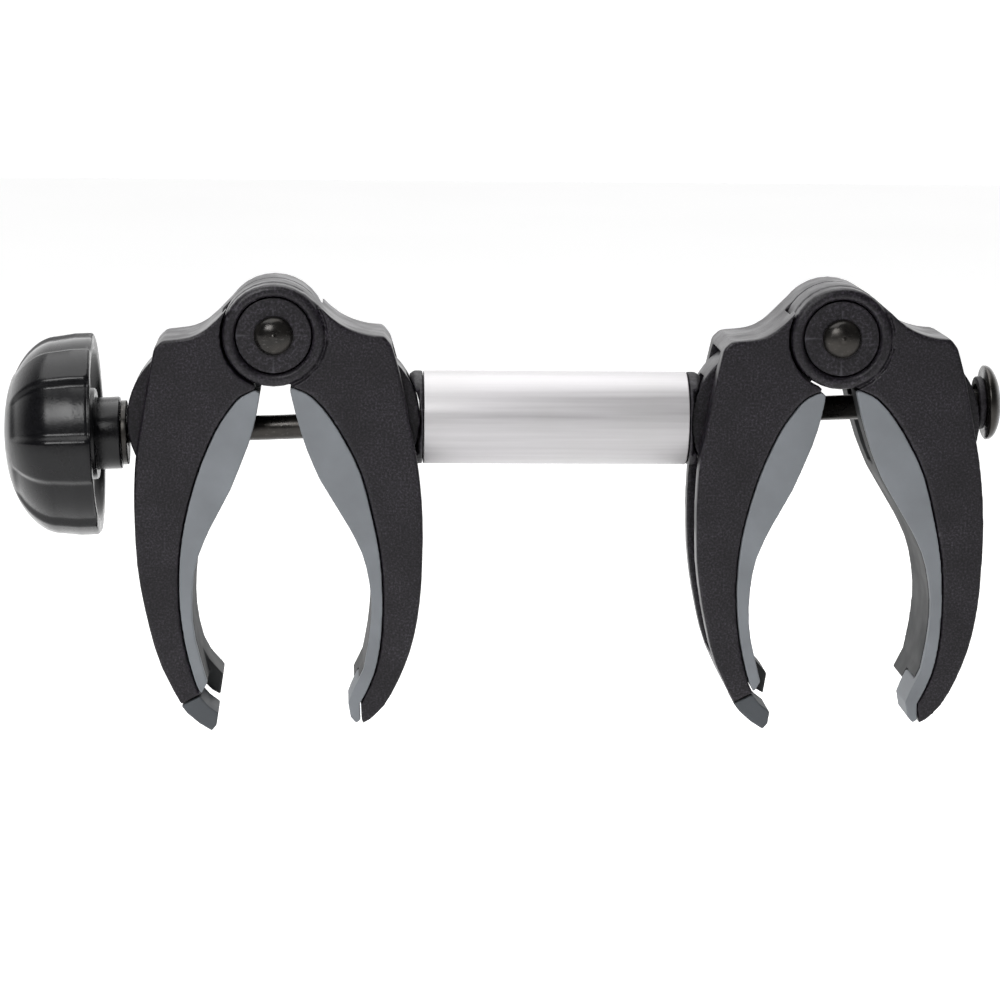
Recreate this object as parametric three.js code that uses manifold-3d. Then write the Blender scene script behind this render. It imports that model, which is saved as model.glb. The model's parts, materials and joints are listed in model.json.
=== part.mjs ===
// A double claw clamp arm: two hinged claws with rubber pads on the ends of a short aluminium
// spacer tube, drawn shut together by one hand knob on a long through bolt.
// Millimetres, +X along the tube from the knob to the bolt head, +Z up, -Y towards the front.
// The claws are drawn round their hub axis, each at x = 0, z = 0, and then set in place.
import * as THREE from "three";
import { mergeVertices } from "three/addons/utils/BufferGeometryUtils.js";
import Module from "manifold-3d";

const wasm = await Module();
wasm.setup();

// ---- driving dimensions ----------------------------------------------------------------------
const HUB_X = 90.8; // each claw's hinge axis, either side of the middle of the tube
const AXIS_Z = -28.2; // the tube's axis, below the hinge axes
const HALF_DEPTH = 18; // half the depth of a claw, front to back
const BOLT_TILT = THREE.MathUtils.degToRad(2.27); // the bolt rises towards its head
const GAP = 0.3; // between pieces that lie against each other

const TUBE = { radius: 15.1, bore: 13.3, halfLength: 42.7 };
const PLUG = { radius: 15.1, flange: 1.3, spigot: 12.9, spigotLength: 12, bore: 6.6 };
const SADDLE = { radius: 26.45, offset: 20.6, halfWidth: 9.5 };
const CHANNEL = { halfWidth: 10.8, top: -5, bottom: -106, wall: 5 };
const SLOT = { halfWidth: 5, halfHeight: 14 };
const HUB = { ring: 16.4, knuckle: 16.7, clearance: 17.5, split: 1.95, step: -10.8, bore: 4.35 };
const DISC = { radius: 12.0, recess: 12.5, front: -17.4, thickness: 2.6 };
const PIN = { shank: 4.0, head: 6.3, dome: 3.4 };
const WASHER = { radius: 9.5, thickness: 1.4 };
const PAD_DEPTH = 3.5; // the grey pad is a plate let into the front of the darker liner
const TONGUE = { depth: 1.8, halfWidth: 6, first: 10, last: 21 }; // keys the liner to the arm
const TIP_TOP_Z = -112; // below this the front half of a right-hand pad is one block
const REAR_END_Z = -115; // where the rear half of a right-hand claw arm stops
const HALF_SPLIT = 0.5; // the plane between the front and rear halves of the claw tips
const LEAN = THREE.MathUtils.degToRad(0.6); // how far a left-hand arm hangs off its mean place

const BOLT = { radius: 4, neck: 4, head: 12.1, rim: 0.9, dome: 5.2, seat: 140.6, end: -156 };
const HEAD_WASHER = { inner: 6.2, radius: 8.6, thickness: 2.2 };
const THRUST = { radius: 10.4, thickness: 1.8, seat: -138.1 };
const SLEEVE = { radius: 11.7, start: -140.2, end: -151 };
const NUT = { radius: 6.6, start: -153.4, end: -143.2 };
const KNOB = { rim: -148, bore: 4.6, boreEnd: -175, recess: 27, recessDepth: 3 };
const HOLLOWS = {
  count: 6,
  first: THREE.MathUtils.degToRad(22.5),
  depth: 1.5,
  start: 18,
  full: 25,
};

const COLOURS = {
  shell: { color: 0x323034, roughness: 0.55, metalness: 0 },
  pad: { color: 0x767c82, roughness: 0.8, metalness: 0 },
  tip: { color: 0x52565a, roughness: 0.7, metalness: 0 },
  liner: { color: 0x33363a, roughness: 0.75, metalness: 0 },
  tube: { color: 0xd6d6d8, roughness: 0.3, metalness: 1 },
  steel: { color: 0x2c2a28, roughness: 0.35, metalness: 0.8 },
  knob: { color: 0x1c1c1e, roughness: 0.35, metalness: 0 },
};

// ---- solids ----------------------------------------------------------------------------------
function solid(geometry) {
  const bare = geometry.index ? geometry.clone() : geometry;
  bare.deleteAttribute("normal");
  bare.deleteAttribute("uv");
  const merged = mergeVertices(bare, 1e-4);
  const triangles = new Uint32Array(merged.index.array);
  const make = () =>
    new wasm.Manifold(
      new wasm.Mesh({
        numProp: 3,
        vertProperties: merged.attributes.position.array,
        triVerts: triangles,
      }),
    );
  const made = make();
  if (made.volume() > 0) return made;
  for (let i = 0; i < triangles.length; i += 3) {
    [triangles[i + 1], triangles[i + 2]] = [triangles[i + 2], triangles[i + 1]];
  }
  return make();
}

function geometryOf(manifold) {
  const mesh = manifold.getMesh();
  const geometry = new THREE.BufferGeometry();
  geometry.setAttribute("position", new THREE.BufferAttribute(mesh.vertProperties, 3));
  geometry.setIndex(new THREE.BufferAttribute(mesh.triVerts, 1));
  geometry.computeVertexNormals();
  return geometry;
}

// An outline in x and z, from y = front to y = back.
function plate(points, front, back) {
  const shape = new THREE.Shape(points);
  const geometry = new THREE.ExtrudeGeometry(shape, { depth: back - front, bevelEnabled: false });
  geometry.rotateX(Math.PI / 2);
  geometry.translate(0, back, 0);
  return solid(geometry);
}

// A round bar along Y.
function bar(radius, front, back, x = 0, z = 0, segments = 32) {
  const geometry = new THREE.CylinderGeometry(radius, radius, back - front, segments);
  geometry.translate(x, (front + back) / 2, z);
  return solid(geometry);
}

function block(x0, x1, y0, y1, z0, z1) {
  const geometry = new THREE.BoxGeometry(x1 - x0, y1 - y0, z1 - z0);
  geometry.translate((x0 + x1) / 2, (y0 + y1) / 2, (z0 + z1) / 2);
  return solid(geometry);
}

// A profile of [radius, place along the axis] turned about X, or about Y.
function turned(profile, alongX, segments = 24) {
  const points = profile.map(([radius, place]) => new THREE.Vector2(radius, place));
  const geometry = new THREE.LatheGeometry(points, segments);
  if (alongX) geometry.rotateZ(-Math.PI / 2);
  return geometry;
}

const at = (x, z) => new THREE.Vector2(x, z);
const line = (pairs) => pairs.map(([x, z]) => at(x, z));
const smooth = (pairs, steps) => new THREE.SplineCurve(line(pairs)).getPoints(steps);

// The same line moved sideways, to its left as it runs.
function beside(points, distance) {
  return points.map((point, i) => {
    const before = points[Math.max(i - 1, 0)];
    const after = points[Math.min(i + 1, points.length - 1)];
    const along = after.clone().sub(before).normalize();
    return at(point.x - along.y * distance, point.y + along.x * distance);
  });
}

// ---- the two arm shapes ----------------------------------------------------------------------
// Every line runs from the hub to the tip. A pad's face has one flat stretch to grip with.
const RIGHT = {
  side: 1,
  outer: [
    ...smooth([[9.5, 13.6], [14.9, 9.1], [19.8, 4.8], [25.1, 2.0], [30.6, 0.5], [35.2, 0.2]], 9),
    ...smooth(
      [[37.6, -2.8], [40.5, -13], [43.6, -28], [46.3, -42], [47.8, -57], [47.9, -72], [47.2, -86],
        [45.1, -98.8], [41.7, -109], [36.6, -119], [31.9, -124.2], [28.9, -126]],
      24,
    ),
  ],
  padBack: smooth(
    [[5.9, -16.3], [10.9, -18.4], [15.1, -22.2], [18.6, -26.7], [22.3, -32.6], [27.9, -43.8],
      [32.0, -59.1], [34.5, -72.2], [35.3, -85.3], [34.9, -98], [33.2, -108], [30.6, -115],
      [28.2, -119.6]],
    26,
  ),
  padFace: [
    ...smooth([[5.2, -17.2], [7.0, -24.9], [10.6, -36.5], [14.8, -46.2]], 6),
    ...smooth([[24.6, -62.4], [29.1, -72.2], [31.4, -85.3], [30.9, -97], [29.0, -108.3]], 10),
  ],
  padTip: line([[28.2, -124.9], [26.7, -126.0], [24.9, -123.8], [24.1, -119.2], [25.3, -116.0]]),
  bodyTip: line([[28.5, -124.9]]),
};
const LEFT = {
  side: -1,
  outer: [
    ...smooth([[-9.5, 13.6], [-14.3, 9.0], [-20.2, 3.1], [-25.2, 0.1], [-30.2, -0.9],
      [-35.2, -1.3]], 9),
    ...smooth(
      [[-37.9, -3.8], [-40.2, -15], [-42.6, -28.5], [-44.2, -38], [-45.0, -49], [-45.0, -61],
        [-44.2, -76], [-41.5, -91.5], [-37.6, -106], [-31.0, -119.4]],
      20,
    ),
  ],
  padBack: smooth(
    [[-6.1, -17.1], [-11.1, -19.7], [-15.4, -24.9], [-19.4, -31.4], [-24.9, -44.4],
      [-29.2, -60], [-31.1, -73.5], [-31.2, -86.7], [-29.6, -100], [-26.6, -112], [-24.7, -116.1]],
    24,
  ),
  padFace: [
    ...smooth([[-4.5, -18.3], [-5.6, -25], [-8.3, -34.8], [-14.2, -49.4]], 6),
    ...smooth([[-21.2, -62.5], [-25.4, -73], [-26.9, -85], [-26.3, -97], [-22.4, -112.4]], 9),
  ],
  padTip: [],
  bodyTip: [],
  // The rear half of the pad ends in a lip, and the front half of the arm in a hooked tip.
  lip: line([[-25.2, -103], [-22.3, -108.6], [-17.9, -113.7], [-18.9, -120.4],
    [-21.6, -118.9], [-24.2, -116.2], [-27.5, -107]]),
  hook: line([[-30.9, -119.9], [-28.9, -122.5], [-25.2, -125.7], [-21.2, -128.2],
    [-19.6, -126.4], [-19.0, -122.4], [-22.2, -120.0], [-24.8, -116.9]]),
};

// An arm's lines swung about the hub. Its saddle stays where the tube's seat needs it.
function leaned(shape, angle) {
  const turnedShape = {};
  for (const [key, value] of Object.entries(shape)) {
    const isLine = Array.isArray(value);
    turnedShape[key] = isLine ? value.map((p) => p.clone().rotateAround(at(0, 0), angle)) : value;
  }
  return turnedShape;
}

const inwards = (shape) => shape.side; // a line that runs down has +x on its left

function armBody(shape) {
  const saddleX = shape.side * SADDLE.offset;
  const outline = [at(0, 0), ...shape.outer, ...shape.bodyTip, ...[...shape.padBack].reverse()];
  let body = plate(outline, -HALF_DEPTH, HALF_DEPTH);

  const wall = beside(shape.padBack, inwards(shape) * CHANNEL.wall);
  const inChannel = wall.filter((p) => p.y < CHANNEL.top - 6 && p.y > CHANNEL.bottom);
  const far = shape.side * 70;
  const first = inChannel[0];
  const last = inChannel[inChannel.length - 1];
  const channel = [at(far, CHANNEL.top), at(first.x, CHANNEL.top), ...inChannel, at(far, last.y)];
  body = body.subtract(plate(channel, -CHANNEL.halfWidth, CHANNEL.halfWidth));

  const padSide = [at(far, 0), at(shape.padBack[0].x, 0), ...shape.padBack, at(far, -120)];
  const drum = bar(SADDLE.radius, -SADDLE.halfWidth, SADDLE.halfWidth, saddleX, AXIS_Z, 56);
  const behindPad = plate(padSide, -SADDLE.halfWidth - 1, SADDLE.halfWidth + 1);
  body = body.add(drum.intersect(behindPad));
  const groove = TONGUE.halfWidth + GAP;
  return body.subtract(plate(tongue(shape, 1, TONGUE.depth + GAP), -groove, groove));
}

// The strip that keys a liner into its arm, or its groove, which is longer at both ends.
function tongue(shape, longer, depth) {
  const middle = shape.padBack.slice(TONGUE.first - longer, TONGUE.last + longer);
  const inside = beside(middle, -inwards(shape));
  return [...inside, ...beside(middle, inwards(shape) * depth).reverse()];
}

function rodSlot(shape) {
  const outside = shape.side * 60;
  const inside = -shape.side * 5;
  const { halfWidth, halfHeight } = SLOT;
  const low = Math.min(outside, inside);
  const high = Math.max(outside, inside);
  return block(low, high, -halfWidth, halfWidth, AXIS_Z - halfHeight, AXIS_Z + halfHeight);
}

// The right-hand arm carries the front knuckle, with the proud ring round the hub disc.
function rightArm() {
  const back = HALF_DEPTH + 1;
  const ringFront = -HALF_DEPTH - 0.5;
  let body = armBody(RIGHT);
  body = body.subtract(bar(HUB.ring + 0.8, -back, -HALF_DEPTH + 1.6));
  body = body.add(bar(HUB.knuckle, HUB.step, HUB.split - 0.15));
  const ring = turned(
    [[0, HUB.step - 1], [HUB.ring, HUB.step - 1], [HUB.ring, ringFront + 1.6],
      [HUB.ring - 0.5, ringFront + 0.5], [HUB.ring - 1.6, ringFront],
      [DISC.recess + 0.8, ringFront], [DISC.recess, ringFront + 0.8], [0, ringFront + 0.8]],
    false,
    32,
  );
  body = body.add(solid(ring));
  body = body.subtract(bar(DISC.recess, -back - 1, DISC.front + DISC.thickness + GAP));
  body = body.subtract(bar(HUB.bore, -back, back, 0, 0, 20));
  body = body.subtract(bar(HUB.clearance, HUB.split - 0.15, back));
  body = body.subtract(block(0, 60, HALF_SPLIT, back, -140, REAR_END_Z));
  return body.subtract(rodSlot(RIGHT));
}

// The left-hand arm carries the rear knuckle, and its front cheek is cut round the ring.
function leftArm(shape) {
  const back = HALF_DEPTH + 1;
  let body = armBody(shape);
  body = body.add(bar(HUB.knuckle, HUB.split + 0.15, HALF_DEPTH));
  body = body.subtract(bar(HUB.ring + 0.7, -back, HUB.step));
  body = body.subtract(bar(HUB.clearance, HUB.step - GAP, HUB.split + 0.15));
  body = body.subtract(bar(HUB.bore, -back, back, 0, 0, 20));
  return body.subtract(rodSlot(shape));
}

function padOutline(shape) {
  const back = beside(shape.padBack, -inwards(shape) * GAP);
  return [...back, ...shape.padTip, ...[...shape.padFace].reverse()];
}

// The grey pad: a plate on the front, with a block at the tip of a right-hand arm.
function pad(shape) {
  const outline = padOutline(shape);
  let body = plate(outline, -HALF_DEPTH, -HALF_DEPTH + PAD_DEPTH);
  if (shape.side > 0) {
    const below = block(0, 60, -20, 20, -140, TIP_TOP_Z);
    body = body.add(plate(outline, -HALF_DEPTH, HALF_SPLIT).intersect(below));
  }
  return body.subtract(bar(HUB.clearance + GAP, -19, 19));
}

// The darker liner fills the claw behind the pad, and ends in a lip on a left-hand arm.
function liner(shape) {
  const outline = padOutline(shape);
  let body = plate(outline, -HALF_DEPTH + PAD_DEPTH + GAP, HALF_DEPTH);
  body = body.add(plate(tongue(shape, 0, TONGUE.depth), -TONGUE.halfWidth, TONGUE.halfWidth));
  if (shape.side > 0) {
    body = body.subtract(block(0, 60, HALF_SPLIT, 19, -140, REAR_END_Z));
    body = body.subtract(block(0, 60, -19, HALF_SPLIT + GAP, -140, TIP_TOP_Z + GAP));
  } else {
    body = body.add(plate(shape.lip, HALF_SPLIT, HALF_DEPTH));
  }
  return body.subtract(rodSlot(shape)).subtract(bar(HUB.clearance + GAP, -19, 19));
}

// ---- hub pieces ------------------------------------------------------------------------------
function hubDisc() {
  const profile = [[HUB.bore, 0], [DISC.radius, 0], [DISC.radius, DISC.thickness],
    [HUB.bore, DISC.thickness], [HUB.bore, 0]];
  return turned(profile, false, 28);
}

function rearWasher() {
  const profile = [[HUB.bore, 0], [WASHER.radius, 0], [WASHER.radius, WASHER.thickness],
    [HUB.bore, WASHER.thickness], [HUB.bore, 0]];
  return turned(profile, false);
}

// A rivet along Y: a domed head in front, a shank, and a flatter closing head behind.
function hingePin() {
  const front = DISC.front - GAP;
  const rear = HALF_DEPTH + WASHER.thickness + 2 * GAP;
  const dome = [];
  for (let i = 0; i <= 4; i += 1) {
    const angle = (i / 4) * (Math.PI / 2);
    dome.push([PIN.head * Math.sin(angle), front - 0.6 - PIN.dome * Math.cos(angle)]);
  }
  const profile = [[0, front - 0.6 - PIN.dome], ...dome.slice(1), [PIN.head, front],
    [PIN.shank, front], [PIN.shank, rear], [PIN.head - 0.6, rear], [PIN.head - 1.6, rear + 1.8],
    [0, rear + 2.1]];
  return turned(profile, false, 20);
}

// ---- the tube and its plugs ------------------------------------------------------------------
function spacerTube() {
  const { radius, bore, halfLength } = TUBE;
  const profile = [[bore, -halfLength], [radius, -halfLength], [radius, halfLength],
    [bore, halfLength], [bore, -halfLength]];
  return turned(profile, true, 40);
}

// The right-hand plug: a spigot in the tube, a flange, and a hollowed seat for the claw.
function tubePlug() {
  const start = TUBE.halfLength + GAP;
  const seat = HUB_X - SADDLE.offset;
  const spigot = turned(
    [[0, start - PLUG.spigotLength], [PLUG.spigot, start - PLUG.spigotLength],
      [PLUG.spigot, start], [PLUG.radius, start], [PLUG.radius, start + 2.6],
      [PLUG.radius - 1, start + 4.1], [PLUG.radius - 3, start + 5], [0, start + 6]],
    true,
    40,
  );
  const flangeEnd = start + PLUG.flange;
  const trim = CHANNEL.halfWidth - 0.5;
  let body = solid(spigot);
  body = body.subtract(block(flangeEnd, 60, trim, 20, -20, 20));
  body = body.subtract(block(flangeEnd, 60, -20, -trim, -20, 20));
  body = body.subtract(bar(SADDLE.radius + GAP, -20, 20, seat, 0, 56));
  const hole = turned([[0, 20], [PLUG.bore, 20], [PLUG.bore, 60], [0, 60]], true);
  return body.subtract(solid(hole));
}

// ---- bolt and knob, drawn along X through the middle of the tube -----------------------------
function throughBolt() {
  const { radius, neck, head, rim, dome, seat, end } = BOLT;
  const cup = [];
  for (let i = 0; i <= 5; i += 1) {
    const angle = (i / 5) * (Math.PI / 2);
    cup.push([head * Math.cos(angle), seat + rim + (dome - rim) * Math.sin(angle)]);
  }
  cup[cup.length - 1][0] = 0;
  const shank = turned(
    [[0, end], [radius - 0.8, end], [radius, end + 0.8], [radius, seat], [head, seat], ...cup],
    true,
  );
  return solid(shank).add(block(seat - 4.5, seat + 0.4, -neck, neck, -neck, neck));
}

function ringAlongX(inner, outer, start, end, segments = 24) {
  const profile = [[inner, start], [outer, start], [outer, end], [inner, end], [inner, start]];
  return turned(profile, true, segments);
}

function knobShell() {
  const { rim, bore, boreEnd, recess, recessDepth } = KNOB;
  const outside = [[32.3, 0], [32.7, -1.5], [32.6, -6], [31.9, -12.5], [29.8, -18], [26.4, -22.4],
    [21.6, -25.8], [15, -28.2], [8, -29.2], [0, -29.5]];
  const dome = outside.map(([radius, depth]) => [radius, rim + depth]);
  const shell = turned([[0, rim], [24, rim], ...dome], true, 48);
  // Finger hollows in the outside, and each fades out into the lobes beside it.
  const place = shell.getAttribute("position");
  const share = (2 * Math.PI) / HOLLOWS.count;
  for (let i = 0; i < place.count; i += 1) {
    const y = place.getY(i);
    const z = place.getZ(i);
    const radius = Math.hypot(y, z);
    const turn = Math.atan2(z, -y) - HOLLOWS.first;
    const fromMiddle = Math.abs(turn - share * Math.round(turn / share));
    const across = 1 - THREE.MathUtils.smoothstep(fromMiddle, share / 6, share / 3);
    const along = THREE.MathUtils.smoothstep(radius, HOLLOWS.start, HOLLOWS.full);
    const scale = 1 - (HOLLOWS.depth * across * along) / Math.max(radius, 1);
    place.setY(i, y * scale);
    place.setZ(i, z * scale);
  }
  const sleeveHole = turned([[0, SLEEVE.end - GAP], [SLEEVE.radius + GAP, SLEEVE.end - GAP],
    [SLEEVE.radius + GAP, 0], [0, 0]], true);
  const nutHole = turned([[0, NUT.start - GAP], [NUT.radius + GAP, NUT.start - GAP],
    [NUT.radius + GAP, 0], [0, 0]], true, 6);
  const boltHole = turned([[0, boreEnd], [bore, boreEnd], [bore, 0], [0, 0]], true, 20);
  const recessCut = ringAlongX(SLEEVE.radius + 3, recess, rim - recessDepth, rim + 5, 36);
  let body = solid(shell);
  for (const cut of [sleeveHole, nutHole, boltHole, recessCut]) body = body.subtract(solid(cut));
  return body;
}

function knobSleeve() {
  const { radius, start, end } = SLEEVE;
  const profile = [[NUT.radius + GAP, end], [radius, end], [radius, start - 0.8],
    [radius - 0.8, start], [BOLT.radius + 0.6, start], [BOLT.radius + 0.6, NUT.end + GAP],
    [NUT.radius + GAP, NUT.end + GAP], [NUT.radius + GAP, end]];
  return turned(profile, true);
}

// A six-sided nut with a round hole.
function knobNut() {
  const { radius, start, end } = NUT;
  const bore = BOLT.radius + 0.35;
  const blank = turned([[0, start], [radius, start], [radius, end], [0, end]], true, 6);
  const hole = turned([[0, start - 1], [bore, start - 1], [bore, end + 1], [0, end + 1]], true, 20);
  return solid(blank).subtract(solid(hole));
}

// ---- assembly --------------------------------------------------------------------------------
function mesh(name, geometry, colour) {
  const shape = geometry.isBufferGeometry ? geometry : geometryOf(geometry);
  const made = new THREE.Mesh(shape, new THREE.MeshStandardMaterial(COLOURS[colour]));
  made.name = name;
  return made;
}

function claw(sideName, leftRole, rightRole, leftLean) {
  const group = new THREE.Group();
  const shape = leaned(LEFT, leftLean);
  const hook = plate(shape.hook, -HALF_DEPTH, HALF_SPLIT);
  group.add(mesh(`${sideName}_${leftRole}_jaw`, leftArm(shape), "shell"));
  group.add(mesh(`${sideName}_${leftRole}_pad`, pad(shape), "pad"));
  group.add(mesh(`${sideName}_${leftRole}_liner`, liner(shape), "liner"));
  group.add(mesh(`${sideName}_${leftRole}_tip`, hook, "tip"));
  group.add(mesh(`${sideName}_${rightRole}_jaw`, rightArm(), "shell"));
  group.add(mesh(`${sideName}_${rightRole}_pad`, pad(RIGHT), "pad"));
  group.add(mesh(`${sideName}_${rightRole}_liner`, liner(RIGHT), "liner"));
  const disc = mesh(`${sideName}_hub_disc`, hubDisc(), "shell");
  disc.position.y = DISC.front;
  const washer = mesh(`${sideName}_rear_washer`, rearWasher(), "steel");
  washer.position.y = HALF_DEPTH + GAP;
  group.add(disc, washer, mesh(`${sideName}_hinge_pin`, hingePin(), "steel"));
  return group;
}

const clamp = new THREE.Group();
const leftClaw = claw("left", "outer", "inner", LEAN);
leftClaw.position.x = -HUB_X;
const rightClaw = claw("right", "inner", "outer", -LEAN);
rightClaw.position.x = HUB_X;
clamp.add(leftClaw, rightClaw);

const spacer = new THREE.Group();
spacer.position.z = AXIS_Z;
const rightPlug = mesh("right_tube_plug", tubePlug(), "shell");
const leftPlug = mesh("left_tube_plug", tubePlug(), "shell");
leftPlug.rotation.z = Math.PI;
spacer.add(mesh("spacer_tube", spacerTube(), "tube"), rightPlug, leftPlug);
clamp.add(spacer);

const drive = new THREE.Group();
drive.position.z = AXIS_Z;
drive.rotation.y = -BOLT_TILT;
const washerStart = BOLT.seat - GAP - HEAD_WASHER.thickness;
const headWasher = ringAlongX(
  HEAD_WASHER.inner,
  HEAD_WASHER.radius,
  washerStart,
  BOLT.seat - GAP,
);
const thrustWasher = ringAlongX(
  BOLT.radius + 0.5,
  THRUST.radius,
  THRUST.seat - THRUST.thickness,
  THRUST.seat,
);
drive.add(
  mesh("through_bolt", throughBolt(), "steel"),
  mesh("head_washer", headWasher, "shell"),
  mesh("thrust_washer", thrustWasher, "steel"),
  mesh("knob_sleeve", knobSleeve(), "knob"),
  mesh("knob_nut", knobNut(), "steel"),
  mesh("knob_shell", knobShell(), "knob"),
);
clamp.add(drive);

// The frame's origin is the middle of the whole object's box.
const whole = new THREE.Box3().setFromObject(clamp, true);
clamp.position.sub(whole.getCenter(new THREE.Vector3()));

export default clamp;
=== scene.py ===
"""The looks of a double claw clamp arm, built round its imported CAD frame, in metres."""

import json
import math

import bmesh
import bpy
from mathutils import Matrix, Vector

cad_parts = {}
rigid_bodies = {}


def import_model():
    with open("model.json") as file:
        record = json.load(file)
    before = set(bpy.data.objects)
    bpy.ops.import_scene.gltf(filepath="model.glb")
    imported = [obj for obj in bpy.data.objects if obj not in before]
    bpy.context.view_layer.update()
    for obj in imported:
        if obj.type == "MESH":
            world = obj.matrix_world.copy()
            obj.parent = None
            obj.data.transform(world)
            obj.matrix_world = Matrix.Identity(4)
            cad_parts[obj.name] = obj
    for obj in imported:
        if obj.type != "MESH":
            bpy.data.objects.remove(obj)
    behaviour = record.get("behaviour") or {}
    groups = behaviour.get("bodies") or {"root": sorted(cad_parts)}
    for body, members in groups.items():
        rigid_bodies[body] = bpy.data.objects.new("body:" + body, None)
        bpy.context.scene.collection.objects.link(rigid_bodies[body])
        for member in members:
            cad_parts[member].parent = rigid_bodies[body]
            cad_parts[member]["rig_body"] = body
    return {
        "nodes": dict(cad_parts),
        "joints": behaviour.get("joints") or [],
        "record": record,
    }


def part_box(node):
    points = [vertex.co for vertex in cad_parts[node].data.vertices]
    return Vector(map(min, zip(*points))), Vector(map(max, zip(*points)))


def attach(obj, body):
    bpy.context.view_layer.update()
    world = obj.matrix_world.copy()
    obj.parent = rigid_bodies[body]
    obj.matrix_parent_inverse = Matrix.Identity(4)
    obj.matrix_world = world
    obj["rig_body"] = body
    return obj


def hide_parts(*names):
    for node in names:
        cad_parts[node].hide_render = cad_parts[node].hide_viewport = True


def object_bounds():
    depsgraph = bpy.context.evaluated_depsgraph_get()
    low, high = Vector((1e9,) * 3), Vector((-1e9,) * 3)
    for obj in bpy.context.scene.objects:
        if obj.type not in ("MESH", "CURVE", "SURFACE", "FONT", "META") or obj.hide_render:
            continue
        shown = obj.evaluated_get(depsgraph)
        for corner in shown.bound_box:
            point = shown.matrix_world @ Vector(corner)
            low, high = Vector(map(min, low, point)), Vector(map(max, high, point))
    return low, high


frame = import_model()
cad_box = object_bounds()

MM = 0.001
TURN = 2 * math.pi
CLEARANCE = 0.3 * MM  # between pieces that lie against each other, as in the CAD
HALF_DEPTH = 18 * MM  # half the depth of a claw, front to back

JAW_VOXEL = 0.5 * MM
PAD_VOXEL = 0.4 * MM
SMALL_VOXEL = 0.35 * MM
NUT_VOXEL = 0.25 * MM
SOFT_PASSES = 22  # extra smoothing of the jaws' long edges

PIN_SHANK = 4.0 * MM
PIN_NIPPLE = 0.7 * MM
BOLT_RADIUS = 4.0 * MM
THREAD = {"pitch": 1.25 * MM, "depth": 0.65 * MM, "length": 36 * MM}
NECK = {"half_width": 4.0 * MM, "length": 4.5 * MM, "edge": 0.5 * MM}
HOLLOWS = {"count": 6, "depth": 1.5 * MM, "first": math.radians(22.5)}
RECESS = {"inner": 27.2 * MM, "depth": 3 * MM}

FLOOR_BELOW = 0.10
FLOOR_HALF_SIZE = 4.0
FLOOR_GLOW = 0.42
ROOM_IN_FRONT = 0.1
ROOM_BEHIND = 1.6
SEEN_WHITE = 1.1
# name, place, size, power
LIGHTS = (
    ("top_light", (-0.1, 0.1, 0.95), (1.3, 0.9), 13.0),
    ("front_light", (-0.55, -1.2, 0.85), (0.7, 0.5), 13.5),
    ("low_light", (0.5, -1.1, -0.35), (0.6, 0.3), 3.0),
)

CAMERA_FROM_HUBS = Vector((-0.0720, -1.050, 0.1209))
CAMERA_ANGLES = {"yaw": 2.980, "pitch": 9.524, "roll": 0.669}
LENS = 117.6
SENSOR = 36.0

SLOTS = {row["node"]: row["material_slot"] for row in frame["record"]["subparts"]}
JOINTS = {joint["name"]: joint for joint in frame["joints"]}


# ---- where things are ------------------------------------------------------------------------
def centre(node):
    low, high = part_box(node)
    return (low + high) / 2


class Line:
    """An axis through a point, with two directions across it."""

    def __init__(self, point, along, across):
        self.point = Vector(point)
        self.along = Vector(along).normalized()
        self.side = self.along.cross(Vector(across)).normalized()
        self.up = self.side.cross(self.along)

    def place(self, radius, angle, distance):
        out = self.side * math.cos(angle) + self.up * math.sin(angle)
        return self.point + self.along * distance + out * radius

    def reach(self, node):
        """How far a CAD node runs along this line, and its inner and outer radius about it."""
        ends, radii = [], []
        for vertex in frame["nodes"][node].data.vertices:
            offset = vertex.co - self.point
            distance = offset.dot(self.along)
            ends.append(distance)
            radii.append((offset - self.along * distance).length)
        return min(ends), max(ends), min(radii), max(radii)


LEFT_HUB = centre("left_hub_disc")
RIGHT_HUB = centre("right_hub_disc")
TUBE_LINE = Line(centre("spacer_tube"), (1, 0, 0), (0, 0, 1))
BOLT_LINE = Line(JOINTS["knob_turn"]["pos_m"], JOINTS["knob_turn"]["axis"], (0, 0, 1))


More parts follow.
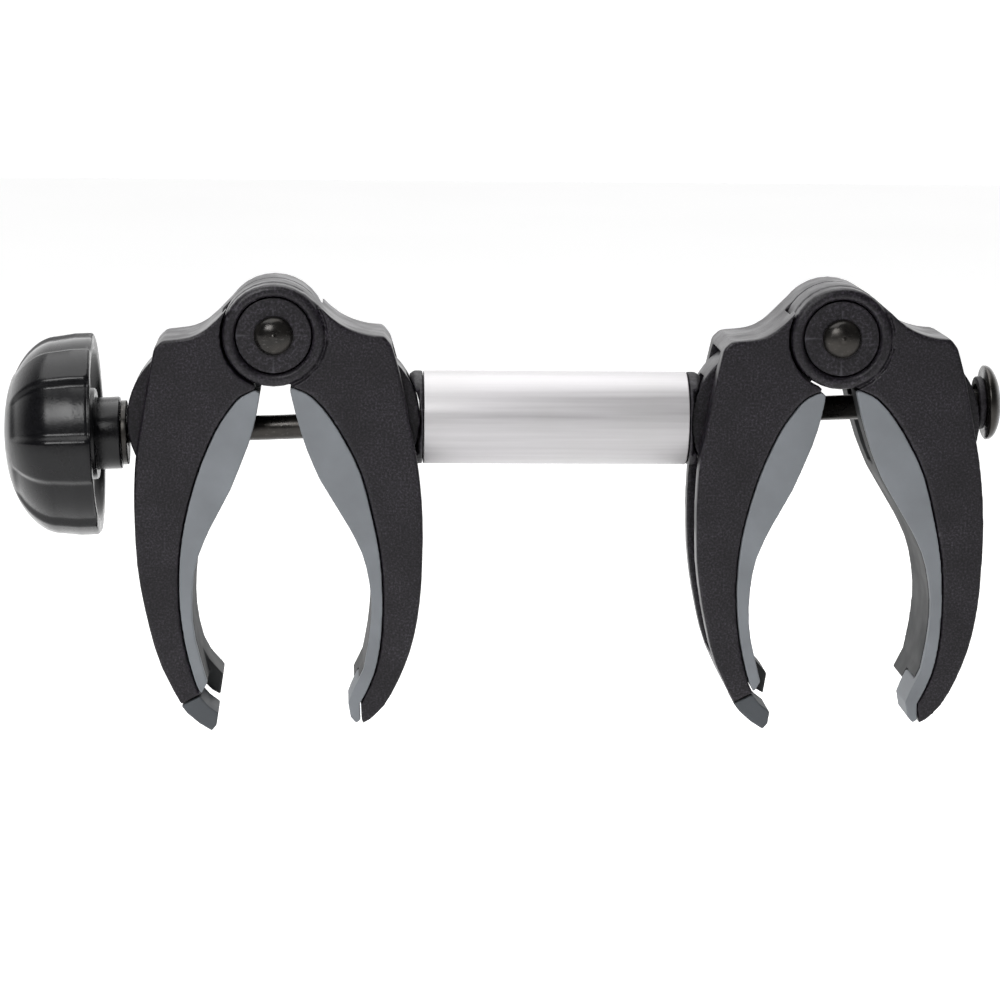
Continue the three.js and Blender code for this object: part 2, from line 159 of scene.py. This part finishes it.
# ---- materials -------------------------------------------------------------------------------
class Surface:
    """A material's node tree with short names for the nodes used here."""

    def __init__(self, name, roughness, metallic=0.0, **fixed):
        self.material = bpy.data.materials.new(name)
        self.material.use_nodes = True
        self.tree = self.material.node_tree
        self.shader = self.tree.nodes["Principled BSDF"]
        self.shader.inputs["Roughness"].default_value = roughness
        self.shader.inputs["Metallic"].default_value = metallic
        for socket, value in fixed.items():
            self.shader.inputs[socket.replace("_", " ")].default_value = value
        self.coordinates = self.tree.nodes.new("ShaderNodeTexCoord").outputs["Object"]

    def link(self, output, target):
        self.tree.links.new(output, target)

    def noise(self, scale, detail=2.0, stretch=(1, 1, 1), rough=0.5):
        mapping = self.tree.nodes.new("ShaderNodeMapping")
        mapping.inputs["Scale"].default_value = stretch
        self.link(self.coordinates, mapping.inputs["Vector"])
        texture = self.tree.nodes.new("ShaderNodeTexNoise")
        texture.inputs["Scale"].default_value = scale
        texture.inputs["Detail"].default_value = detail
        texture.inputs["Roughness"].default_value = rough
        self.link(mapping.outputs["Vector"], texture.inputs["Vector"])
        return texture.outputs["Fac"]

    def spread(self, source, low, high, start=0.35, end=0.65):
        """The noise's middle stretch spread over low to high."""
        node = self.tree.nodes.new("ShaderNodeMapRange")
        for socket, value in (("From Min", start), ("From Max", end),
                              ("To Min", low), ("To Max", high)):
            node.inputs[socket].default_value = value
        self.link(source, node.inputs["Value"])
        return node.outputs["Result"]

    def shades(self, source, stops):
        """A colour ramp over the source, from (place, (r, g, b)) stops."""
        ramp = self.tree.nodes.new("ShaderNodeValToRGB")
        while len(ramp.color_ramp.elements) < len(stops):
            ramp.color_ramp.elements.new(1.0)
        for element, (place, colour) in zip(ramp.color_ramp.elements, stops):
            element.position = place
            element.color = (*colour, 1)
        self.link(source, ramp.inputs["Fac"])
        return ramp.outputs["Color"]

    def mix(self, factor, first, second):
        node = self.tree.nodes.new("ShaderNodeMix")
        node.data_type = "RGBA"
        for value, socket in ((factor, node.inputs["Factor"]), (first, node.inputs["A"]),
                              (second, node.inputs["B"])):
            if isinstance(value, tuple):
                socket.default_value = (*value, 1)
            elif isinstance(value, float):
                socket.default_value = value
            else:
                self.link(value, socket)
        return node.outputs["Result"]

    def edges(self, start, end):
        """High where the surface turns sharply outwards."""
        geometry = self.tree.nodes.new("ShaderNodeNewGeometry")
        return self.spread(geometry.outputs["Pointiness"], 0.0, 1.0, start, end)

    def bump(self, layers):
        """Height layers of (source, strength, depth in metres), one on another."""
        normal = None
        for source, strength, depth in layers:
            node = self.tree.nodes.new("ShaderNodeBump")
            node.inputs["Strength"].default_value = strength
            node.inputs["Distance"].default_value = depth
            self.link(source, node.inputs["Height"])
            if normal is not None:
                self.link(normal, node.inputs["Normal"])
            normal = node.outputs["Normal"]
        self.link(normal, self.shader.inputs["Normal"])

    def colour(self, source):
        self.link(source, self.shader.inputs["Base Color"])

    def roughness(self, source):
        self.link(source, self.shader.inputs["Roughness"])


def grained_plastic(name, dark, light, worn, grain=1500.0, smooth=0.44, rough=0.62):
    """Filled nylon from a spark-eroded mould: fine grain, a faint mottle and rubbed edges."""
    surface = Surface(name, rough, Specular_IOR_Level=0.24)
    speckle = surface.noise(grain, 3.0, rough=0.65)
    mottle = surface.noise(90.0, 3.0)
    specks = tuple(3.2 * c for c in light)
    base = surface.shades(speckle, [(0.38, dark), (0.52, light), (0.68, specks)])
    base = surface.mix(surface.spread(mottle, 0.0, 0.45), base, dark)
    surface.colour(surface.mix(surface.edges(0.54, 0.62), base, worn))
    surface.roughness(surface.spread(mottle, smooth, rough))
    surface.bump([(speckle, 0.32, 0.00012), (mottle, 0.15, 0.0002)])
    return surface.material


def pad_rubber(name, colour):
    """Moulded rubber with a matt bloom and fine handling marks."""
    surface = Surface(name, 0.7, Specular_IOR_Level=0.4)
    bloom = surface.noise(55.0, 4.0)
    fine = surface.noise(2600.0, 2.0)
    dusted = tuple(1.18 * c for c in colour)
    shaded = tuple(0.86 * c for c in colour)
    surface.colour(surface.shades(bloom, [(0.3, shaded), (0.5, colour), (0.72, dusted)]))
    surface.roughness(surface.spread(bloom, 0.6, 0.78))
    surface.bump([(fine, 0.18, 0.00006), (bloom, 0.1, 0.0002)])
    return surface.material


def drawn_aluminium(name):
    """Anodised tube: satin, with faint lines along its length."""
    surface = Surface(name, 0.42, 0.35)
    lines = surface.noise(900.0, 3.0, stretch=(0.02, 1, 1))
    cloud = surface.noise(40.0, 2.0)
    bright = surface.shades(lines, [(0.3, (0.37, 0.36, 0.37)), (0.7, (0.43, 0.42, 0.43))])
    surface.colour(surface.mix(surface.spread(cloud, 0.0, 0.2), bright, (0.35, 0.352, 0.335)))
    surface.roughness(surface.spread(lines, 0.4, 0.48))
    surface.bump([(lines, 0.05, 0.00003)])
    return surface.material


def blackened_steel(name):
    """Black oxide on steel with fine scratches and thin brown patches."""
    surface = Surface(name, 0.34, 0.85)
    scratches = surface.noise(700.0, 4.0, stretch=(1, 0.3, 2.2), rough=0.7)
    patches = surface.noise(160.0, 3.0)
    tinted = (0.036, 0.033, 0.03)
    base = surface.shades(patches, [(0.35, (0.02, 0.019, 0.018)), (0.65, tinted)])
    bare = surface.spread(scratches, 0.0, 0.5, 0.6, 0.74)
    base = surface.mix(bare, base, (0.15, 0.145, 0.14))
    surface.colour(surface.mix(surface.edges(0.56, 0.68), base, (0.16, 0.15, 0.14)))
    surface.roughness(surface.spread(patches, 0.22, 0.4))
    surface.bump([(scratches, 0.22, 0.00008)])
    return surface.material


def knob_plastic(name):
    """Glossier black plastic with an orange-peel texture and soft scuffs."""
    surface = Surface(name, 0.33, Specular_IOR_Level=0.22, Coat_Weight=0.04, Coat_Roughness=0.2)
    peel = surface.noise(1300.0, 3.0, rough=0.6)
    scuffs = surface.noise(120.0, 4.0)
    base = surface.shades(peel, [(0.35, (0.0015, 0.0015, 0.002)), (0.7, (0.005, 0.005, 0.006))])
    surface.colour(surface.mix(surface.edges(0.6, 0.78), base, (0.03, 0.03, 0.032)))
    surface.roughness(surface.spread(scuffs, 0.2, 0.3))
    surface.bump([(peel, 0.3, 0.00012), (scuffs, 0.1, 0.0002)])
    return surface.material


MATERIALS = {
    "shell": grained_plastic("jaw_plastic", (0.002, 0.0016, 0.0025), (0.0105, 0.009, 0.012),
                             (0.035, 0.033, 0.039), smooth=0.34, rough=0.48),
    "plug": grained_plastic("plug_plastic", (0.003, 0.0025, 0.0035), (0.012, 0.0105, 0.0135),
                            (0.045, 0.043, 0.05), grain=1100.0),
    "pad_rubber": pad_rubber("pad_rubber", (0.142, 0.152, 0.164)),
    # The tip rubber is the pads' grey rubber at about a third of its brightness: painted shade
    # for the light falling off towards the claw tips.
    "tip_rubber": pad_rubber("tip_rubber", (0.048, 0.053, 0.059)),
    "liner_rubber": pad_rubber("liner_rubber", (0.007, 0.008, 0.009)),
    "tube": drawn_aluminium("tube_aluminium"),
    "dark_steel": blackened_steel("dark_steel"),
    "knob": knob_plastic("knob_plastic"),
}


# ---- making pieces ---------------------------------------------------------------------------
def finish_piece(piece, node):
    """Puts a new piece in the place of its CAD node, on the same body, in the same finish."""
    piece.data.materials.clear()
    piece.data.materials.append(MATERIALS[SLOTS[node]])
    for polygon in piece.data.polygons:
        polygon.material_index = 0
    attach(piece, frame["nodes"][node]["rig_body"])
    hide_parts(node)
    return piece


def smooth_step(value, low, high):
    t = min(1.0, max(0.0, (value - low) / (high - low)))
    return t * t * (3 - 2 * t)


def new_object(name, mesh):
    piece = bpy.data.objects.new(name, mesh)
    bpy.context.scene.collection.objects.link(piece)
    return piece


def apply_modifiers(piece):
    evaluated = piece.evaluated_get(bpy.context.evaluated_depsgraph_get())
    mesh = bpy.data.meshes.new_from_object(evaluated)
    piece.modifiers.clear()
    old = piece.data
    piece.data = mesh
    bpy.data.meshes.remove(old)


def soften_sides(piece, hub, depth, passes):
    """Rounds the long front and rear edges more than the ones close to the hub."""
    group = piece.vertex_groups.new(name="soft")
    for vertex in piece.data.vertices:
        from_hub = math.hypot(vertex.co.x - hub.x, vertex.co.z - hub.z)
        away = smooth_step(from_hub, 19 * MM, 24 * MM)
        outside = smooth_step(abs(vertex.co.y - hub.y), depth - 5 * MM, depth - 3 * MM)
        above_tip = smooth_step(vertex.co.z - hub.z, -116 * MM, -104 * MM)
        weight = away * outside * above_tip
        if weight > 0:
            group.add([vertex.index], weight, "REPLACE")
    relax = piece.modifiers.new("soften", "SMOOTH")
    relax.factor = 0.5
    relax.iterations = passes
    relax.vertex_group = "soft"
    apply_modifiers(piece)
    piece.vertex_groups.clear()


def moulded(node, voxel, passes, name=None, soften=None):
    """The node's own shape as a moulding: every edge rounded as a mould rounds it."""
    mesh = frame["nodes"][node].data.copy()
    work = bmesh.new()
    work.from_mesh(mesh)
    bmesh.ops.remove_doubles(work, verts=work.verts, dist=0.002 * MM)
    work.to_mesh(mesh)
    work.free()
    piece = new_object(name or node + "_moulding", mesh)
    remesh = piece.modifiers.new("fill", "REMESH")
    remesh.mode = "VOXEL"
    remesh.voxel_size = voxel
    relax = piece.modifiers.new("relax", "SMOOTH")
    relax.factor = 0.5
    relax.iterations = passes
    apply_modifiers(piece)
    if soften:
        soften_sides(piece, *soften)
    piece.data.shade_smooth()
    return finish_piece(piece, node)


def rounded(profile, radius, steps=3):
    """A profile of (radius, along) points with its corners turned into short arcs."""
    closed = profile[0] == profile[-1]
    points = [Vector(p) for p in (profile[:-1] if closed else profile)]
    count = len(points)
    result = []
    for i, point in enumerate(points):
        ends = not closed and i in (0, count - 1)
        before, after = points[i - 1], points[(i + 1) % count]
        to_before, to_after = before - point, after - point
        if ends or to_before.angle(to_after, math.pi) > 2.9:
            result.append(point)
            continue
        cut = min(radius, 0.45 * to_before.length, 0.45 * to_after.length)
        start = point + to_before.normalized() * cut
        end = point + to_after.normalized() * cut
        for step in range(steps + 1):
            t = step / steps
            result.append(start.lerp(point, t).lerp(point.lerp(end, t), t))
    if closed:
        result.append(result[0].copy())
    return result


def turned(name, line, profile, steps, radius_at=None):
    """A profile turned about a line. It starts and ends on the line, or closes on itself."""
    closed = (Vector(profile[0]) - Vector(profile[-1])).length < 1e-9
    points = list(profile[:-1]) if closed else list(profile)
    work = bmesh.new()
    rows = []
    for radius, along in points:
        if radius < 1e-7:
            rows.append([work.verts.new(line.place(0, 0, along))] * steps)
            continue
        row = []
        for step in range(steps):
            angle = TURN * step / steps
            shown = radius_at(radius, along, angle) if radius_at else radius
            row.append(work.verts.new(line.place(shown, angle, along)))
        rows.append(row)
    pairs = list(zip(rows, rows[1:] + rows[:1])) if closed else list(zip(rows, rows[1:]))
    for first, second in pairs:
        for step in range(steps):
            after = (step + 1) % steps
            corners = [first[step], first[after], second[after], second[step]]
            unique = list(dict.fromkeys(corners))
            if len(unique) > 2:
                work.faces.new(unique)
    bmesh.ops.recalc_face_normals(work, faces=work.faces)
    mesh = bpy.data.meshes.new(name)
    work.to_mesh(mesh)
    work.free()
    mesh.shade_smooth()
    return new_object(name, mesh)


def ring_profile(inner, outer, low, high, edge):
    corners = [(inner, low), (outer, low), (outer, high), (inner, high), (inner, low)]
    return rounded(corners, edge)


# ---- the claws -------------------------------------------------------------------------------
JAWS = ("left_outer_jaw", "left_inner_jaw", "right_inner_jaw", "right_outer_jaw")
PADS = ("left_outer_pad", "left_inner_pad", "right_inner_pad", "right_outer_pad")
TIPS = ("left_outer_tip", "right_inner_tip")
for jaw in JAWS:
    near_hub = LEFT_HUB if jaw.startswith("left") else RIGHT_HUB
    middle = Vector((near_hub.x, 0.0, near_hub.z))
    moulded(jaw, JAW_VOXEL, 4, soften=(middle, HALF_DEPTH, SOFT_PASSES))
for pad in PADS:
    moulded(pad, PAD_VOXEL, 3)
    moulded(pad.replace("pad", "liner"), PAD_VOXEL, 3)
for tip in TIPS:
    moulded(tip, SMALL_VOXEL, 5)
for plug in ("left_tube_plug", "right_tube_plug"):
    moulded(plug, SMALL_VOXEL, 5)


def hub_pieces(side):
    hub = Line(centre(side + "_hub_disc"), (0, 1, 0), (0, 0, 1))
    low, high, inner, outer = hub.reach(side + "_hub_disc")
    disc_profile = ring_profile(inner, outer, low, high, 0.35 * MM)
    finish_piece(turned(side + "_disc", hub, disc_profile, 96), side + "_hub_disc")
    low, high, inner, outer = hub.reach(side + "_rear_washer")
    washer_profile = ring_profile(inner, outer, low, high, 0.3 * MM)
    finish_piece(turned(side + "_washer", hub, washer_profile, 96), side + "_rear_washer")
    rear_face = high + CLEARANCE
    front, back, _, head = hub.reach(side + "_hinge_pin")
    disc_face = hub.reach(side + "_hub_disc")[0] - 0.15 * MM
    dome_height = disc_face - front
    profile = [(0, front), (0.35 * PIN_NIPPLE, front + 0.05 * MM),
               (PIN_NIPPLE, front + 0.45 * MM)]
    steps = 14
    for step in range(2, steps + 1):
        angle = step / steps * math.pi / 2
        drop = 1 - math.cos(angle)
        height = 0.3 * MM + (dome_height - 0.3 * MM) * drop
        profile.append((head * math.sin(angle), front + height))
    profile += rounded([(head, disc_face), (PIN_SHANK, disc_face), (PIN_SHANK, rear_face),
                        (head - 0.6 * MM, rear_face), (head - 1.4 * MM, back - 0.3 * MM),
                        (2 * MM, back), (0, back)], 0.4 * MM)[1:]
    finish_piece(turned(side + "_pin", hub, profile, 72), side + "_hinge_pin")


for side in ("left", "right"):
    hub_pieces(side)


# ---- tube, bolt and washers ------------------------------------------------------------------
def tube_piece():
    low, high, inner, outer = TUBE_LINE.reach("spacer_tube")
    profile = ring_profile(inner, outer, low, high, 0.35 * MM)
    finish_piece(turned("tube_body", TUBE_LINE, profile, 160), "spacer_tube")


def bolt_pieces():
    low, high, _, head = BOLT_LINE.reach("through_bolt")
    washer_low, washer_high, washer_inner, washer_outer = BOLT_LINE.reach("head_washer")
    seat = washer_high + CLEARANCE
    radius, pitch = BOLT_RADIUS, THREAD["pitch"]
    thread_end = low + THREAD["length"]
    shank = [(0, low), (radius - 1.0 * MM, low), (radius, low + 1.0 * MM)]
    step_length = pitch / 8
    count = int((thread_end - low - 1.0 * MM) / step_length)
    shank += [(radius, low + 1.0 * MM + step_length * (i + 1)) for i in range(count)]
    shank += [(radius, thread_end + 1 * MM), (radius, seat), (head - 0.5 * MM, seat),
              (head, seat + 0.35 * MM), (head, seat + 0.8 * MM)]
    cup = high - seat - 0.9 * MM
    steps = 16
    for step in range(1, steps + 1):
        angle = step / steps * math.pi / 2
        shank.append((head * math.cos(angle) if step < steps else 0,
                      seat + 0.9 * MM + cup * math.sin(angle)))

    def threaded(at_radius, along, angle):
        if at_radius < radius - 1e-6 or not low + 1.5 * MM < along < thread_end:
            return at_radius
        phase = ((along - low) / pitch - angle / TURN) % 1.0
        return radius - THREAD["depth"] * abs(2 * phase - 1)

    finish_piece(turned("bolt_body", BOLT_LINE, shank, 72, threaded), "through_bolt")
    profile = ring_profile(washer_inner, washer_outer, washer_low, washer_high, 0.6 * MM)
    finish_piece(turned("bolt_washer", BOLT_LINE, profile, 96), "head_washer")
    low, high, inner, outer = BOLT_LINE.reach("thrust_washer")
    profile = ring_profile(inner, outer, low, high, 0.3 * MM)
    finish_piece(turned("sleeve_washer", BOLT_LINE, profile, 96), "thrust_washer")
    neck = NECK["half_width"]
    work = bmesh.new()
    corners = []
    for along in (seat - NECK["length"], seat + 0.2 * MM):
        for side, up in ((-1, -1), (1, -1), (1, 1), (-1, 1)):
            across = BOLT_LINE.side * side * neck + BOLT_LINE.up * up * neck
            corners.append(work.verts.new(BOLT_LINE.point + BOLT_LINE.along * along + across))
    work.faces.new(corners[:4][::-1])
    work.faces.new(corners[4:])
    for i in range(4):
        j = (i + 1) % 4
        work.faces.new([corners[i], corners[j], corners[4 + j], corners[4 + i]])
    bmesh.ops.bevel(work, geom=list(work.edges), offset=NECK["edge"], segments=3, profile=0.5,
                    affect="EDGES")
    bmesh.ops.recalc_face_normals(work, faces=work.faces)
    mesh = bpy.data.meshes.new("bolt_neck")
    work.to_mesh(mesh)
    work.free()
    square = new_object("bolt_neck", mesh)
    square.data.materials.append(MATERIALS["dark_steel"])
    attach(square, "bolt")


tube_piece()
bolt_pieces()


# ---- the hand knob ---------------------------------------------------------------------------
def knob_pieces():
    low, high, _, outer = BOLT_LINE.reach("knob_shell")
    sleeve_low, sleeve_high, sleeve_inner, sleeve_outer = BOLT_LINE.reach("knob_sleeve")
    nut_low, nut_high, _, nut_outer = BOLT_LINE.reach("knob_nut")
    rim = high
    depth = high - low
    share = TURN / HOLLOWS["count"]
    # The outside from the rim to the crown: a short skirt, a shoulder and a nearly flat crown.
    skirt = [(outer, rim - 1.0 * MM), (outer, rim - 6 * MM), (outer - 0.8 * MM, rim - 12.5 * MM)]
    shoulder_base = skirt[-1]
    outside = [(outer - 0.9 * MM, rim), (outer - 0.3 * MM, rim - 0.3 * MM), *skirt]
    steps = 30
    for step in range(1, steps + 1):
        angle = step / steps * math.pi / 2
        across = math.cos(angle) ** 0.86
        down = math.sin(angle) ** 1.12
        reach = depth - 12.5 * MM
        outside.append((shoulder_base[0] * across if step < steps else 0,
                        shoulder_base[1] - reach * down))
    fine = [Vector(outside[0])]
    for first, second in zip(outside, outside[1:]):
        parts = max(1, int((Vector(second) - Vector(first)).length / (0.8 * MM)))
        for part in range(1, parts + 1):
            fine.append(Vector(first).lerp(Vector(second), part / parts))
    recess_low = rim - RECESS["depth"]
    sleeve_hole = sleeve_outer + CLEARANCE
    inside = [(0, low + 2.6 * MM), (4.6 * MM, low + 2.6 * MM), (4.6 * MM, nut_low - 0.4 * MM),
              (sleeve_hole, sleeve_low - CLEARANCE), (sleeve_hole, rim - 0.4 * MM),
              (sleeve_outer + 0.6 * MM, rim), (sleeve_outer + 2.6 * MM, rim),
              (sleeve_outer + 3.0 * MM, rim - 0.4 * MM), (sleeve_outer + 3.2 * MM, recess_low),
              (RECESS["inner"] - 0.4 * MM, recess_low), (RECESS["inner"], rim - 0.5 * MM),
              (RECESS["inner"] + 0.5 * MM, rim)]
    profile = [Vector(p) for p in inside] + fine

    def hollowed(radius, along, angle):
        in_recess = radius < 28 * MM and along > recess_low - 1e-5
        if radius < 17.5 * MM or along > rim - 0.05 * MM or in_recess:
            return radius
        turn = angle - HOLLOWS["first"]
        off = abs(turn - share * round(turn / share))
        across = 1 - smooth_step(off, share * 0.23, share * 0.33)
        ease = smooth_step(radius, 19 * MM, 23.5 * MM)
        return radius - HOLLOWS["depth"] * across * ease

    piece = turned("knob_body", BOLT_LINE, profile, 432, hollowed)
    finish_piece(piece, "knob_shell")
    nut_hole, nut_end = nut_outer + CLEARANCE, nut_high + CLEARANCE
    profile = rounded([(nut_hole, sleeve_low), (sleeve_outer, sleeve_low),
                       (sleeve_outer, sleeve_high), (sleeve_inner, sleeve_high),
                       (sleeve_inner, nut_end), (nut_hole, nut_end),
                       (nut_hole, sleeve_low)], 0.5 * MM)
    finish_piece(turned("knob_stem", BOLT_LINE, profile, 128), "knob_sleeve")
    moulded("knob_nut", NUT_VOXEL, 2, "knob_insert")


knob_pieces()


# ---- stage, light and camera -----------------------------------------------------------------
def stage():
    work = bmesh.new()
    size = FLOOR_HALF_SIZE
    height = Vector(cad_box[0]).z - FLOOR_BELOW
    corners = [work.verts.new((x, y, height)) for x, y in
               ((-size, -size), (size, -size), (size, size), (-size, size))]
    work.faces.new(corners)
    mesh = bpy.data.meshes.new("floor")
    work.to_mesh(mesh)
    work.free()
    floor = new_object("floor", mesh)
    surface = Surface("pale_floor", 0.9)
    cloud = surface.noise(3.0, 2.0)
    surface.colour(surface.shades(cloud, [(0.3, (0.93, 0.93, 0.93)), (0.7, (0.96, 0.96, 0.96))]))
    surface.shader.inputs["Emission Color"].default_value = (1, 1, 1, 1)
    surface.shader.inputs["Emission Strength"].default_value = FLOOR_GLOW
    floor.data.materials.append(surface.material)


def soft_box(name, place, size, power):
    light = bpy.data.lights.new(name, "AREA")
    light.shape = "RECTANGLE"
    light.size, light.size_y = size
    light.energy = power
    lamp = bpy.data.objects.new(name, light)
    lamp.location = place
    lamp.rotation_euler = (-Vector(place)).to_track_quat("-Z", "Y").to_euler()
    bpy.context.scene.collection.objects.link(lamp)
    return lamp


def surroundings():
    world = bpy.data.worlds.new("studio")
    bpy.context.scene.world = world
    world.use_nodes = True
    tree = world.node_tree
    background = tree.nodes["Background"]
    background.inputs["Color"].default_value = (1, 1, 1, 1)
    place = tree.nodes.new("ShaderNodeTexCoord")
    split = tree.nodes.new("ShaderNodeSeparateXYZ")
    tree.links.new(place.outputs["Generated"], split.inputs["Vector"])
    # For light and reflections, a white wall behind the object and a dark room in front of it.
    ramp = tree.nodes.new("ShaderNodeMapRange")
    ramp.interpolation_type = "SMOOTHSTEP"
    for socket, value in (("From Min", -0.1), ("From Max", 0.8), ("To Min", ROOM_IN_FRONT),
                          ("To Max", ROOM_BEHIND)):
        ramp.inputs[socket].default_value = value
    tree.links.new(split.outputs["Y"], ramp.inputs["Value"])
    # Seen directly it is plain white all round.
    rays = tree.nodes.new("ShaderNodeLightPath")
    chosen = tree.nodes.new("ShaderNodeMix")
    chosen.data_type = "FLOAT"
    chosen.inputs["B"].default_value = SEEN_WHITE
    tree.links.new(rays.outputs["Is Camera Ray"], chosen.inputs["Factor"])
    tree.links.new(ramp.outputs["Result"], chosen.inputs["A"])
    tree.links.new(chosen.outputs["Result"], background.inputs["Strength"])
    for light in LIGHTS:
        soft_box(*light)
    bpy.context.scene.view_settings.view_transform = "Standard"


def camera():
    """A long lens a little over a metre away, above and left of the object."""
    middle = (LEFT_HUB + RIGHT_HUB) / 2
    place = Vector((middle.x, 0.0, middle.z)) + CAMERA_FROM_HUBS
    yaw, pitch, roll = (math.radians(CAMERA_ANGLES[a]) for a in ("yaw", "pitch", "roll"))
    flat = math.cos(pitch)
    ahead = Vector((math.sin(yaw) * flat, math.cos(yaw) * flat, -math.sin(pitch)))
    level = Vector((math.cos(yaw), -math.sin(yaw), 0))
    upright = level.cross(ahead)
    right = level * math.cos(roll) + upright * math.sin(roll)
    up = upright * math.cos(roll) - level * math.sin(roll)
    data = bpy.data.cameras.new("camera")
    data.sensor_width = SENSOR
    data.lens = LENS
    data.clip_end = 20
    viewer = bpy.data.objects.new("camera", data)
    turned_to = Matrix((right, up, -ahead)).transposed().to_4x4()
    viewer.matrix_world = Matrix.Translation(place) @ turned_to
    bpy.context.scene.collection.objects.link(viewer)
    bpy.context.scene.camera = viewer


stage()
surroundings()
camera()

bpy.context.view_layer.update()
